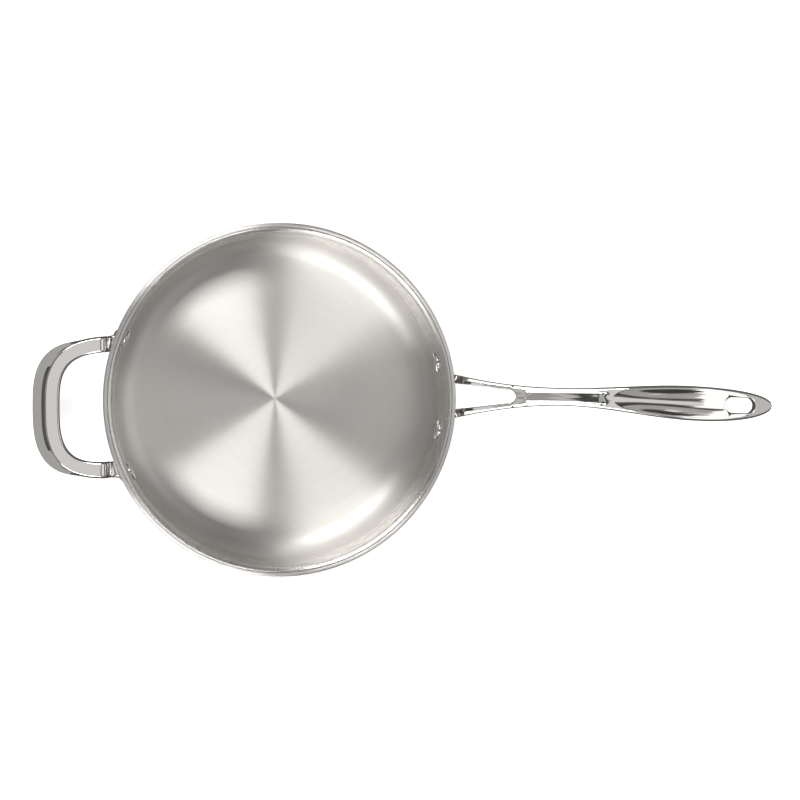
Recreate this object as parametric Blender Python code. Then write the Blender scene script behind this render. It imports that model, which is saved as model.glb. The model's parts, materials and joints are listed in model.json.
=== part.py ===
"""Clad saute pan with a riveted long handle and a riveted helper loop.

Metres, +Z up. The origin is the centre of the underside of the base, and the
long handle points along +X.
"""
from math import asin, atan, copysign, cos, hypot, pi, radians, sin, sqrt, tan

import bmesh
import bpy

# Clad body
RIM_HEIGHT = 0.064
CAVITY_RADIUS = 0.130
CORNER_RADIUS = 0.0185
WALL_FLARE = radians(1.0)
LIP_BEND = 0.0042
RIM_BAND = 0.0034
RIM_ROUNDING = 0.0011
LINER_THICKNESS = 0.0006
CORE_THICKNESS = 0.0012
SHELL_THICKNESS = 0.0006
LAYER_GAP = 0.0003

# Rivets
SHANK_RADIUS = 0.0030
SHANK_CLEARANCE = 0.0003
INNER_HEAD_RADIUS = 0.0077
INNER_HEAD_HEIGHT = 0.0028
OUTER_HEAD_RADIUS = 0.0045
OUTER_HEAD_HEIGHT = 0.0020
RIVET_BELOW_RIM = 0.022
SEAT_GAP = 0.0003

# Feet of both handles, and the roots of the prongs and the loop on them
FOOT_THICKNESS = 0.0035
FOOT_GAP = 0.0004
FOOT_BELOW_RIVET = 0.0095
FOOT_ABOVE_RIVET = 0.0150
EAR_LENGTH = 0.0092
FOOT_INNER_END = 0.0055
ROOT_ABOVE_RIVET = 0.0058
ROOT_DEPTH = 0.0070
ROOT_STANDOFF = 0.0016

# Long handle, with distances along it from the root of its prongs
HANDLE_RIVET_SPACING = 0.0565
HANDLE_SIDE = 0.0024
HANDLE_LEAN = 0.0072
HANDLE_REACH = 0.2441
HANDLE_RISE = 0.057
PRONG_SPREAD = 0.0375
GAP_ROOT_WIDTH = 0.0212
GAP_TOE_WIDTH = 0.0098
GAP_LENGTH = 0.0455
WAIST_AT = 0.083
WAIST_WIDTH = 0.0157
WAIST_DEPTH = 0.0085
PANEL_WIDTH = 0.0080
PANEL_RECESS = 0.0005
PANEL_RUN_IN = 0.008
BEVEL_DROP = 0.0024
GRIP_AT = 0.184
GRIP_WIDTH = 0.0274
GRIP_DEPTH = 0.0105
DISH_START = 0.118
DISH_RUN_IN = 0.016
DISH_RUN_OUT = 0.030
DISH_DEPTH = 0.0034
DISH_BORDER = 0.0034
BORDER_DROP = 0.0009
UNDERSIDE_ROUNDING = 0.0020
TIP_ROUNDNESS = 2.2
TIP_DEPTH = 0.0065
TIP_FLAT = 0.0017
TIP_BOW = 0.0020
HOLE_LENGTH = 0.0252
HOLE_WIDTH = 0.0138
HOLE_FROM_TIP = 0.0136

# Helper loop
HELPER_RIVET_SPACING = 0.108
HELPER_SIDE = 0.0042
HELPER_REACH = 0.0435
HELPER_SPAN = 0.0978
HELPER_SQUARENESS = 3.0
HELPER_RISE = 0.0115
HELPER_RISE_RUN = 0.018
STRAP_WIDTH = 0.0117
STRAP_CROWN = 0.0006
STRAP_EDGE = 0.0008
SKIRT_ROOT = 0.0006
SKIRT_REACH = 0.0088
SKIRT_START = 0.45
SKIRT_DROP = 0.0105
SKIRT_EDGE = 0.0030

# Counts of facets and cells
BODY_FACETS = 48
CORNER_STEPS = 4
LIP_STEPS = 3
RIVET_FACETS = 12
HEAD_STEPS = 3
GAP_CELLS = 5
GRIP_CELLS = 10
HOLE_CELLS = 4
TIP_CELLS = 3
HALF_COLUMNS = 4
LOOP_CELLS = 18

# Shares that shape the castings between their named sizes
BORDER_CREST = 0.42
BEVEL_CREST = 0.84
PRONG_BORDER = 0.30
PRONG_CREST = 0.60
DISH_SIDE = 0.80
DISH_EDGE = 0.15
DISH_LEFT_AT_HOLE = 0.30
UNDERSIDE_TAPER = 0.22
TOP_EDGE_SHARE = 0.97
END_BOW = 0.25
FOOT_END_SHARE = 0.45

# Sizes that follow from the ones above
WALL = LINER_THICKNESS + CORE_THICKNESS + SHELL_THICKNESS + 2 * LAYER_GAP
LIP_RADIUS = CAVITY_RADIUS + LIP_BEND * cos(WALL_FLARE)
LIP_HEIGHT = RIM_HEIGHT - LIP_BEND
RIM_RADIUS = LIP_RADIUS + RIM_BAND
CORNER_HEIGHT = WALL + CORNER_RADIUS
RIVET_HEIGHT = RIM_HEIGHT - RIVET_BELOW_RIM
FOOT_BOTTOM = RIVET_HEIGHT - FOOT_BELOW_RIVET
FOOT_TOP = RIVET_HEIGHT + FOOT_ABOVE_RIVET
ROOT_BOTTOM = RIVET_HEIGHT + ROOT_ABOVE_RIVET
ROOT_TOP = ROOT_BOTTOM + ROOT_DEPTH
HOLE_END = HANDLE_REACH - HOLE_FROM_TIP
HOLE_START = HOLE_END - HOLE_LENGTH


def cavity_radius_at(height):
    """Inside radius of the wall at a height above the base."""
    wall_top = LIP_HEIGHT + LIP_BEND * sin(WALL_FLARE)
    return CAVITY_RADIUS - (wall_top - height) * tan(WALL_FLARE)


def smooth_step(value):
    """Ease from 0 to 1 while the value goes from 0 to 1."""
    value = min(1.0, max(0.0, value))
    return value * value * (3.0 - 2.0 * value)


def blend(start, end, share):
    return start + (end - start) * share


def round_end(distance, radius):
    """Half width of a round-ended slot at a distance from its end."""
    if distance >= radius:
        return radius
    return sqrt(radius ** 2 - (radius - distance) ** 2)


FLOOR_RADIUS = (cavity_radius_at(CORNER_HEIGHT - CORNER_RADIUS * sin(WALL_FLARE))
                - CORNER_RADIUS * cos(WALL_FLARE))
FOOT_INNER_RADIUS = cavity_radius_at(FOOT_TOP) + WALL + FOOT_GAP
FOOT_OUTER_RADIUS = FOOT_INNER_RADIUS + FOOT_THICKNESS


def clear_scene():
    for thing in list(bpy.data.objects):
        bpy.data.objects.remove(thing)


def metal(name, colour, roughness):
    mat = bpy.data.materials.new(name)
    mat.use_nodes = True
    shader = mat.node_tree.nodes["Principled BSDF"]
    shader.inputs["Base Color"].default_value = (*colour, 1.0)
    shader.inputs["Metallic"].default_value = 1.0
    shader.inputs["Roughness"].default_value = roughness
    return mat


def finished_object(name, bm, mat):
    """Put a bmesh into the scene as one smooth-shaded object."""
    bmesh.ops.recalc_face_normals(bm, faces=bm.faces[:])
    mesh = bpy.data.meshes.new(name)
    bm.to_mesh(mesh)
    bm.free()
    mesh.shade_smooth()
    mesh.set_sharp_from_angle(angle=radians(32))
    mesh.materials.append(mat)
    obj = bpy.data.objects.new(name, mesh)
    bpy.context.scene.collection.objects.link(obj)
    return obj


def cut(obj, cutter):
    hole = obj.modifiers.new("rivet holes", "BOOLEAN")
    hole.operation = "DIFFERENCE"
    hole.solver = "EXACT"
    hole.object = cutter


def turned(profile, steps, closed):
    """Turn a (radius, height) outline about +Z."""
    bm = bmesh.new()
    verts = [bm.verts.new((r, 0.0, z)) for r, z in profile]
    edges = [bm.edges.new(pair) for pair in zip(verts, verts[1:])]
    if closed:
        edges.append(bm.edges.new((verts[-1], verts[0])))
    bmesh.ops.spin(bm, geom=verts + edges, cent=(0, 0, 0), axis=(0, 0, 1),
                   angle=2 * pi, steps=steps, use_merge=True)
    bmesh.ops.remove_doubles(bm, verts=bm.verts[:], dist=1e-5)
    return bm


# Clad body

def layer_surface(depth, lip_end):
    """Outline from the axis to the lip, a depth below the cooking surface."""
    points = [(0.0, WALL - depth)]
    for step in range(CORNER_STEPS + 1):
        angle = blend(-pi / 2, -WALL_FLARE, step / CORNER_STEPS)
        reach = CORNER_RADIUS + depth
        points.append((FLOOR_RADIUS + reach * cos(angle), CORNER_HEIGHT + reach * sin(angle)))
    for step in range(LIP_STEPS + 1):
        angle = blend(pi - WALL_FLARE, pi / 2, step / LIP_STEPS)
        reach = LIP_BEND - depth
        points.append((LIP_RADIUS + reach * cos(angle), LIP_HEIGHT + reach * sin(angle)))
    if lip_end > LIP_RADIUS:
        points.append((lip_end, RIM_HEIGHT - depth))
    return points


def rolled_edge():
    """Rounded outer edge of the rim, from its underside up to its top."""
    points = []
    for side, start in ((-1, -pi / 2), (1, 0.0)):
        middle = RIM_HEIGHT - WALL / 2 + side * (WALL / 2 - RIM_ROUNDING)
        for step in range(LIP_STEPS):
            angle = start + pi / 2 * step / (LIP_STEPS - 1)
            points.append((RIM_RADIUS - RIM_ROUNDING + RIM_ROUNDING * cos(angle),
                           middle + RIM_ROUNDING * sin(angle)))
    return points


def make_body(rivet_holes):
    core_start = LINER_THICKNESS + LAYER_GAP
    core_end = core_start + CORE_THICKNESS
    shell_start = core_end + LAYER_GAP
    band_start = LIP_RADIUS + LAYER_GAP
    liner = layer_surface(LINER_THICKNESS, 0.0) + layer_surface(0.0, 0.0)[::-1]
    core = layer_surface(core_end, 0.0) + layer_surface(core_start, 0.0)[::-1]
    shell = layer_surface(WALL, 0.0) + rolled_edge()
    shell += [(band_start, RIM_HEIGHT)] + layer_surface(shell_start, band_start)[::-1]
    layers = (
        ("inner_liner", liner, metal("brushed_interior", (0.70, 0.69, 0.67), 0.28)),
        ("aluminium_core", core, metal("aluminium", (0.82, 0.83, 0.84), 0.45)),
        ("outer_shell", shell, metal("brushed_exterior", (0.68, 0.67, 0.66), 0.25)))
    for name, profile, mat in layers:
        cut(finished_object(name, turned(profile, BODY_FACETS, False), mat), rivet_holes)


# Rivets

def rivet_places():
    """Name and azimuth of each rivet."""
    radius = (FOOT_INNER_RADIUS + FOOT_OUTER_RADIUS) / 2
    places = []
    for foot, middle, side, spacing in (
            ("handle", 0.0, HANDLE_SIDE, HANDLE_RIVET_SPACING),
            ("helper", pi, HELPER_SIDE, HELPER_RIVET_SPACING)):
        for label, sign in (("left", 1), ("right", -1)):
            azimuth = middle + asin((side + sign * spacing / 2) / radius)
            places.append((f"{foot}_rivet_{label}", azimuth))
    return places


def dome(radius, height, base):
    """Quarter outline of a domed head, from its rim to its crown."""
    points = []
    for step in range(HEAD_STEPS):
        angle = pi / 2 * step / HEAD_STEPS
        points.append((radius * cos(angle), base + height * sin(angle)))
    return points + [(0.0, base + height)]


def rivet_profile():
    """Outline of a rivet, with height measured out from the pan's axis."""
    facet_dip = cos(pi / BODY_FACETS)
    lowest = cavity_radius_at(RIVET_HEIGHT - INNER_HEAD_RADIUS) * facet_dip
    inner = sqrt(lowest ** 2 - INNER_HEAD_RADIUS ** 2) - SEAT_GAP
    outer = FOOT_OUTER_RADIUS + SEAT_GAP
    inner_head = dome(INNER_HEAD_RADIUS, -INNER_HEAD_HEIGHT, inner)
    outer_head = dome(OUTER_HEAD_RADIUS, OUTER_HEAD_HEIGHT, outer)
    return inner_head[::-1] + [(SHANK_RADIUS, inner), (SHANK_RADIUS, outer)] + outer_head


def point_outward(obj, azimuth):
    """Turn an object's +Z out from the pan's axis, at the rivets' height."""
    obj.rotation_euler = (0.0, pi / 2, azimuth)
    obj.location.z = RIVET_HEIGHT


def make_rivets():
    bm = turned(rivet_profile(), RIVET_FACETS, False)
    mat = metal("polished_rivet", (0.80, 0.80, 0.80), 0.08)
    mesh = None
    for name, azimuth in rivet_places():
        if mesh:
            obj = bpy.data.objects.new(name, mesh)
            bpy.context.scene.collection.objects.link(obj)
        else:
            obj = finished_object(name, bm, mat)
            mesh = obj.data
        point_outward(obj, azimuth)


def make_rivet_holes():
    """Cutter with one cylinder for each rivet hole."""
    bm = bmesh.new()
    reach = 2 * FOOT_OUTER_RADIUS - 2 * FLOOR_RADIUS
    for _, azimuth in rivet_places():
        radius = SHANK_RADIUS + SHANK_CLEARANCE
        made = bmesh.ops.create_cone(bm, cap_ends=True, segments=RIVET_FACETS,
                                     radius1=radius, radius2=radius, depth=reach)
        guide = bpy.data.objects.new("guide", None)
        point_outward(guide, azimuth)
        turn = guide.rotation_euler.to_matrix()
        bpy.data.objects.remove(guide)
        bmesh.ops.translate(bm, verts=made["verts"], vec=(0, 0, FOOT_INNER_RADIUS))
        bmesh.ops.rotate(bm, verts=made["verts"], cent=(0, 0, 0), matrix=turn)
    bmesh.ops.translate(bm, verts=bm.verts[:], vec=(0, 0, RIVET_HEIGHT))
    obj = finished_object("rivet_holes", bm, metal("cutter", (1.0, 0.2, 0.1), 0.5))
    obj.hide_render = True
    obj.display_type = "WIRE"
    return obj


# Castings: each is made of blocks of cells, whose corners are then moved to their places

def cell_block(bm, columns, rows, is_open=None):
    """Add a closed block whose corners count its cells, with z at -1, 0 or 1."""
    verts = bmesh.ops.create_grid(bm, x_segments=columns, y_segments=rows, size=0.5)["verts"]
    for vert in verts:
        vert.co = (round((vert.co.x + 0.5) * columns), round((vert.co.y + 0.5) * rows), -1.0)
    faces = block_faces(verts, lambda centre: True)
    if is_open:
        holes = [face for face in faces if is_open(face.calc_center_median())]
        faces = [face for face in faces if face not in holes]
        bmesh.ops.delete(bm, geom=holes, context="FACES")
    middle, middle_corners = raise_level(bm, faces)
    top_corners = raise_level(bm, middle)[1]
    bmesh.ops.delete(bm, geom=middle, context="FACES")
    return [vert for vert in verts + middle_corners + top_corners if vert.is_valid]


def raise_level(bm, faces):
    """Extrude faces one level up, and give back the new faces and their corners."""
    raised = bmesh.ops.extrude_face_region(bm, geom=faces, use_keep_orig=True)["geom"]
    corners = [item for item in raised if isinstance(item, bmesh.types.BMVert)]
    bmesh.ops.translate(bm, verts=corners, vec=(0, 0, 1))
    return [item for item in raised if isinstance(item, bmesh.types.BMFace)], corners


def block_faces(verts, wanted):
    """Faces on the corners of a block whose centre passes a test."""
    faces = {face: None for vert in verts for face in vert.link_faces}
    return [face for face in faces if wanted(face.calc_center_median())]


def place(verts, corner):
    """Move each corner from its cell count to its place."""
    for vert in verts:
        column, row, level = vert.co
        vert.co = corner(round(column), round(row), round(level))


def open_rim(bm, faces):
    """Remove a patch of faces and give back the edges round the opening."""
    inside = set(faces)
    edges = {edge: None for face in faces for edge in face.edges}
    rim = [edge for edge in edges if sum(face in inside for face in edge.link_faces) == 1]
    bmesh.ops.delete(bm, geom=faces, context="FACES")
    return rim


def join(bm, root, patch):
    """Run the open end of a prong into the matching opening in its foot."""
    bmesh.ops.bridge_loops(bm, edges=open_rim(bm, root) + open_rim(bm, patch))


def finished_casting(name, bm, mat, rivet_holes):
    obj = finished_object(name, bm, mat)
    rounding = obj.modifiers.new("cast rounding", "SUBSURF")
    rounding.levels = 1
    rounding.render_levels = 1
    cut(obj, rivet_holes)
    return obj


# Feet

FOOT_HEIGHTS = (FOOT_BOTTOM, RIVET_HEIGHT + OUTER_HEAD_RADIUS, ROOT_BOTTOM,
                ROOT_BOTTOM + ROOT_DEPTH / 2, ROOT_TOP, FOOT_TOP)
ROOT_FIRST_ROW = 2
ROOT_LAST_ROW = 4


def add_foot(bm, laterals, side, rounding, patches):
    """Add a foot that hugs the wall, and find the patches where the roots join it."""
    verts = cell_block(bm, len(laterals) - 1, len(FOOT_HEIGHTS) - 1)
    openings = []
    for first, last in patches:
        openings.append(block_faces(verts, lambda c: (
            c.z > 0.9 and first < c.x < last and ROOT_FIRST_ROW < c.y < ROOT_LAST_ROW)))

    def corner(column, row, level):
        lateral = laterals[column]
        from_end = min(abs(lateral - laterals[0]), abs(lateral - laterals[-1]))
        share = blend(FOOT_END_SHARE, 1, round_end(from_end, rounding) / rounding)
        height = RIVET_HEIGHT + (FOOT_HEIGHTS[row] - RIVET_HEIGHT) * share
        radius = blend(FOOT_INNER_RADIUS, FOOT_OUTER_RADIUS, (level + 1) / 2)
        across = side + lateral
        return sqrt(radius ** 2 - across ** 2), across, height
    place(verts, corner)
    return openings


# Long handle

HOLE_FIRST_ROW = GAP_CELLS + GRIP_CELLS
HOLE_LAST_ROW = HOLE_FIRST_ROW + HOLE_CELLS
HANDLE_CELLS = HOLE_LAST_ROW + TIP_CELLS


def handle_row(index):
    """Distance from the root, half width of any opening, and bow of a row of corners."""
    toe = GAP_TOE_WIDTH / 2
    if index < GAP_CELLS:
        share = index / (GAP_CELLS - 1)
        return (GAP_LENGTH - toe) * share, blend(GAP_ROOT_WIDTH / 2, toe, share), 0.0
    if index == GAP_CELLS:
        bow = END_BOW * toe
        return GAP_LENGTH, round_end(bow, toe), -bow
    if index < HOLE_FIRST_ROW:
        share = (index - GAP_CELLS) / GRIP_CELLS
        return blend(GAP_LENGTH, HOLE_START, share), None, 0.0
    if index <= HOLE_LAST_ROW:
        step = index - HOLE_FIRST_ROW
        along = HOLE_LENGTH * (1 - cos(pi * step / HOLE_CELLS)) / 2
        bow = END_BOW * HOLE_WIDTH / 2 * cos(pi * step / HOLE_CELLS)
        from_end = min(along, HOLE_LENGTH - along) + abs(bow)
        bow = 0.0 if 0 < step < HOLE_CELLS else bow
        return HOLE_START + along, round_end(from_end, HOLE_WIDTH / 2), bow
    share = (index - HOLE_LAST_ROW) / TIP_CELLS
    return blend(HOLE_END, HANDLE_REACH, share), None, -TIP_BOW if share == 1 else 0.0


def half_width(along):
    """Half the handle's width: flared prongs, slim waist, long oval grip."""
    waist = WAIST_WIDTH / 2
    grip = GRIP_WIDTH / 2
    if along < WAIST_AT:
        return waist + (PRONG_SPREAD / 2 - waist) * (1 - along / WAIST_AT) ** 2
    if along < GRIP_AT:
        return blend(waist, grip, smooth_step((along - WAIST_AT) / (GRIP_AT - WAIST_AT)))
    past = (min(along, HANDLE_REACH - TIP_FLAT) - GRIP_AT) / (HANDLE_REACH - GRIP_AT)
    return grip * (1 - past ** TIP_ROUNDNESS) ** (1 / TIP_ROUNDNESS)


def handle_depth(along):
    """Thickness from the crest to the underside."""
    if along < WAIST_AT:
        return blend(ROOT_DEPTH, WAIST_DEPTH, smooth_step(along / WAIST_AT))
    if along < GRIP_AT:
        share = smooth_step((along - WAIST_AT) / (GRIP_AT - WAIST_AT))
        return blend(WAIST_DEPTH, GRIP_DEPTH, share)
    share = (along - GRIP_AT) / (HANDLE_REACH - GRIP_AT)
    return blend(GRIP_DEPTH, TIP_DEPTH, share ** 2)


def crest_height(along):
    """Height of the crest line, which climbs and levels out towards the tip."""
    left = 1 - along / HANDLE_REACH
    return ROOT_TOP + HANDLE_RISE * (1 - left ** 2)


def column_places(along, opening):
    """Distances from the middle line to the five columns of corners."""
    half = half_width(along)
    in_grip = smooth_step((along - DISH_START) / DISH_RUN_IN)
    border = blend(half - PANEL_WIDTH / 2, DISH_BORDER, in_grip)
    border = min(border, half * (1 - PRONG_BORDER))
    edge = half - border
    crest = half - border * blend(BEVEL_CREST, BORDER_CREST, in_grip)
    inner = edge / 2
    if opening:
        inner = opening
        edge = max(edge, blend(opening, half, PRONG_BORDER))
        crest = max(crest, blend(opening, half, PRONG_CREST))
    return 0.0, inner, edge, crest, half


def top_drops(along, opening):
    """How far the top surface lies below the crest line at the five columns."""
    in_panel = smooth_step((along - GAP_LENGTH) / PANEL_RUN_IN)
    in_grip = smooth_step((along - DISH_START) / DISH_RUN_IN)
    run_out = smooth_step((along - HOLE_START + DISH_RUN_OUT) / DISH_RUN_OUT)
    past_hole = smooth_step((along - HOLE_END) / HOLE_FROM_TIP)
    dish = DISH_DEPTH * blend(1, DISH_LEFT_AT_HOLE, run_out) * (1 - past_hole)
    deep = blend(PANEL_RECESS * in_panel, dish, in_grip)
    edge = deep * blend(1, DISH_EDGE, in_grip)
    outer = blend(BEVEL_DROP, BORDER_DROP, in_grip)
    side = deep * blend(1, DISH_SIDE, in_grip)
    return deep, side, edge, 0.0, outer


def handle_corner(column, row, level):
    """Place of a corner of the long handle's block."""
    across = row - HALF_COLUMNS
    rank = abs(across)
    along, opening, bow = handle_row(column)
    places = column_places(along, opening)
    drops = top_drops(along, opening)
    depth = handle_depth(along)
    outward = rank / HALF_COLUMNS
    lateral = places[rank]
    top = drops[rank]
    bottom = depth - UNDERSIDE_ROUNDING * outward ** 2
    below = lateral * (1 - UNDERSIDE_TAPER * max(0, rank - 1) / (HALF_COLUMNS - 1))
    above = lateral * (TOP_EDGE_SHARE if rank == HALF_COLUMNS else 1.0)
    lateral = {1: above, 0: lateral, -1: below}[level]
    drop = {1: top, 0: (top + bottom) / 2, -1: bottom}[level]
    along += bow * (min(rank, 1) if opening else outward ** 2)
    share = along / HANDLE_REACH
    slope = atan(2 * HANDLE_RISE * (1 - share) / HANDLE_REACH)
    middle = HANDLE_SIDE - HANDLE_LEAN * share ** 2
    return (FOOT_OUTER_RADIUS + ROOT_STANDOFF + along + drop * sin(slope),
            middle + copysign(lateral, across),
            crest_height(along) - drop * cos(slope))


def make_long_handle(rivet_holes):
    bm = bmesh.new()
    rivet_at = HANDLE_RIVET_SPACING / 2
    _, inner, edge, crest, outer = column_places(0.0, GAP_ROOT_WIDTH / 2)
    ear_end = rivet_at + EAR_LENGTH
    half = [inner / 2, inner, edge, crest, outer, (outer + rivet_at) / 2, rivet_at,
            (rivet_at + ear_end) / 2, ear_end]
    laterals = [-lateral for lateral in half[::-1]] + [0.0] + half
    middle = len(half)
    patches = add_foot(bm, laterals, HANDLE_SIDE, EAR_LENGTH,
                       ((middle - 5, middle - 2), (middle + 2, middle + 5)))

    def is_open(centre):
        in_middle = abs(centre.y - HALF_COLUMNS) < 1
        in_hole = HOLE_FIRST_ROW < centre.x < HOLE_LAST_ROW
        return in_middle and (centre.x < GAP_CELLS or in_hole)
    verts = cell_block(bm, HANDLE_CELLS, 2 * HALF_COLUMNS, is_open)
    roots = [block_faces(verts, lambda c: c.x < 0.1 and c.y < HALF_COLUMNS),
             block_faces(verts, lambda c: c.x < 0.1 and c.y > HALF_COLUMNS)]
    place(verts, handle_corner)
    for root, patch in zip(roots, patches):
        join(bm, root, patch)
    mat = metal("polished_casting", (0.78, 0.78, 0.77), 0.10)
    return finished_casting("long_handle", bm, mat, rivet_holes)


# Helper loop, built towards +X and then turned to the far side

STRAP_SHARES = (-0.5, -0.2, 0.2, 0.5)


def strap_offsets(skirt):
    """Distances of the strap's columns outward from its middle line."""
    offsets = [STRAP_WIDTH * share for share in STRAP_SHARES]
    return offsets + [STRAP_WIDTH / 2 + blend(SKIRT_ROOT, SKIRT_REACH, skirt)]


def strap_levels(skirt):
    """Drops of the top and the underside at the strap's columns."""
    drop = blend(SKIRT_EDGE, SKIRT_DROP, skirt)
    top = (STRAP_EDGE, -STRAP_CROWN, -STRAP_CROWN, 0.0, drop)
    deeper = max(0.0, drop + SKIRT_EDGE - ROOT_DEPTH)
    bottom = [ROOT_DEPTH + deeper * share for share in (0.0, 0.15, 0.35, 0.75)]
    return top, bottom + [drop + SKIRT_EDGE]


def loop_line(angle):
    """Middle line of the strap: reach from its roots, and distance to the side."""
    power = 2 / HELPER_SQUARENESS
    reach = HELPER_REACH * max(0.0, cos(angle)) ** power
    return reach, HELPER_SPAN / 2 * copysign(abs(sin(angle)) ** power, angle)


def helper_corner(column, row, level):
    """Place of a corner of the helper loop's block."""
    angle = blend(-pi / 2, pi / 2, column / LOOP_CELLS)
    reach, side = loop_line(angle)
    before = loop_line(max(-pi / 2, angle - 0.02))
    after = loop_line(min(pi / 2, angle + 0.02))
    run = (after[0] - before[0], after[1] - before[1])
    length = hypot(*run)
    outward = (run[1] / length, -run[0] / length)
    skirt = smooth_step((reach / HELPER_REACH - SKIRT_START) / (1 - SKIRT_START))
    offset = strap_offsets(skirt)[row]
    tops, bottoms = strap_levels(skirt)
    drop = {1: tops[row], 0: (tops[row] + bottoms[row]) / 2, -1: bottoms[row]}[level]
    rise = HELPER_RISE * smooth_step(reach / HELPER_RISE_RUN)
    root = sqrt(FOOT_OUTER_RADIUS ** 2 - ((HELPER_SPAN - STRAP_WIDTH) / 2 - HELPER_SIDE) ** 2)
    return (root + ROOT_STANDOFF + reach + outward[0] * offset,
            HELPER_SIDE + side + outward[1] * offset,
            ROOT_TOP + rise - drop)


def make_helper(rivet_holes):
    bm = bmesh.new()
    rivet_at = HELPER_RIVET_SPACING / 2
    strap = [HELPER_SPAN / 2 + offset for offset in strap_offsets(0.0)]
    inner_end = strap[0] - FOOT_INNER_END
    ear_end = rivet_at + EAR_LENGTH
    ear_corner = ear_end - FOOT_INNER_END / 2
    laterals = [inner_end, inner_end + FOOT_INNER_END / 2] + strap + [ear_corner, ear_end]
    patches = []
    for sign in (-1, 1):
        signed = [sign * lateral for lateral in laterals]
        patches += add_foot(bm, signed, HELPER_SIDE, FOOT_INNER_END, ((2, len(strap) + 1),))
    verts = cell_block(bm, LOOP_CELLS, len(strap) - 1)
    roots = [block_faces(verts, lambda c: c.x < 0.1),
             block_faces(verts, lambda c: c.x > LOOP_CELLS - 0.1)]
    place(verts, helper_corner)
    for root, patch in zip(roots, patches):
        join(bm, root, patch)
    mat = metal("polished_loop", (0.78, 0.78, 0.77), 0.12)
    obj = finished_casting("helper_handle", bm, mat, rivet_holes)
    obj.rotation_euler.z = pi
    return obj


def make_pan():
    clear_scene()
    rivet_holes = make_rivet_holes()
    make_body(rivet_holes)
    make_long_handle(rivet_holes)
    make_helper(rivet_holes)
    make_rivets()


make_pan()
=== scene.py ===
# %% [markdown]
# # A riveted saute pan, seen from straight above
# This lesson dresses a fixed CAD frame of a stainless saute pan. The frame gives the true sizes in
# metres, with the middle of the pan's underside at the origin and the long handle along +X. Every
# piece made here stands in for one CAD node and stays where that node is. The look of polished and
# brushed steel comes from three things together: true curves, the direction of the brushing, and
# what the metal mirrors.

# %% Load the frame
import json
from math import acos, asin, atan, copysign, cos, hypot, pi, radians, sin, sqrt, tan

import bmesh
import bpy
from mathutils import Matrix, Vector

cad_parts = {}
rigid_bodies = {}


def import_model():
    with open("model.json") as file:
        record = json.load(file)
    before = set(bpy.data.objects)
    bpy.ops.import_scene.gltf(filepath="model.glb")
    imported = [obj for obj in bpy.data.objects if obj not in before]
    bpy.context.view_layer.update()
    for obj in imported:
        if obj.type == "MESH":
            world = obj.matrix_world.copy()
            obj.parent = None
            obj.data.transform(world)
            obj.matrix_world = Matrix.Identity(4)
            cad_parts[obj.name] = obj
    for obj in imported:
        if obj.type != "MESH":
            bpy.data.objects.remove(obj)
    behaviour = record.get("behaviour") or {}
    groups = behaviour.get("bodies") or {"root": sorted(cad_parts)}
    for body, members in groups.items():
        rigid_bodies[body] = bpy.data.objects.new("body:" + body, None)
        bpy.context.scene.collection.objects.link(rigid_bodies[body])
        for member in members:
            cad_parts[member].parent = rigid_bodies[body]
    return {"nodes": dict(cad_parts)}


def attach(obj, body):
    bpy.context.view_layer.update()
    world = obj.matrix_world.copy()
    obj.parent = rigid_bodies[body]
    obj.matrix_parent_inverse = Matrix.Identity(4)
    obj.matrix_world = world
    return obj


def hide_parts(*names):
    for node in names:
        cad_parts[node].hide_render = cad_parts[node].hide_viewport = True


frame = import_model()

for thing in list(bpy.data.objects):
    if thing.name in ("Cube", "Light", "Camera"):
        bpy.data.objects.remove(thing)
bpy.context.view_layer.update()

# %% [markdown]
# ## Camera
# The photograph looks almost straight down from about 1.4 m, with a long lens, and its camera
# stands over the pan's left half. So the tip of the handle, which is nearer to the lens than the
# rim, looks a little larger. A camera has no roll when its own right side is level, so its axes are
# worked out from the line of sight and the direction that is up in the picture.

# %% Camera
EYE = Vector((-0.13767, 0.0316, 1.464))
AIM = Vector((0.09273, -0.0002, 0.064))
PICTURE_UP = Vector((0.0, 1.0, 0.0))
LENS_MM = 81.3
SENSOR_MM = 36.0

sight = (AIM - EYE).normalized()
across = sight.cross(PICTURE_UP).normalized()
upward = across.cross(sight)
camera = bpy.data.objects.new("camera", bpy.data.cameras.new("camera"))
camera.data.lens = LENS_MM
camera.data.sensor_width = SENSOR_MM
camera.matrix_world = (Matrix.Translation(EYE)
                       @ Matrix((across, upward, -sight)).transposed().to_4x4())
bpy.context.scene.collection.objects.link(camera)
bpy.context.scene.camera = camera
bpy.context.scene.view_settings.view_transform = "Standard"
print("camera is", round((AIM - EYE).length, 3), "m from its aim")

# %% [markdown]
# ## Small helpers
# Every finish below is a graph of nodes. Short helpers keep the graphs readable: they add a node,
# feed its sockets with constants or with other sockets, and do sums. A few more do the sums that
# lights and shapes share, spin an outline, and turn a bmesh into an object.

# %% Node helpers
def feed(tree, socket, value):
    """Give a socket a constant, another socket's value, or the first output of a node."""
    if isinstance(value, bpy.types.Node):
        value = value.outputs[0]
    if isinstance(value, bpy.types.NodeSocket):
        tree.links.new(value, socket)
    else:
        socket.default_value = value


def wire(tree, node, *values, **inputs):
    """Feed a node's sockets in their order, or by their names, with _ for a space."""
    for socket, value in zip(node.inputs, values):
        feed(tree, socket, value)
    for name, value in inputs.items():
        feed(tree, node.inputs[name.replace("_", " ")], value)
    return node


def add_node(tree, kind, settings=(), *values, **inputs):
    node = tree.nodes.new("ShaderNode" + kind)
    for name, value in settings:
        setattr(node, name, value)
    return wire(tree, node, *values, **inputs)


def calc(tree, operation, *values):
    return add_node(tree, "Math", [("operation", operation)], *values)


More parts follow.
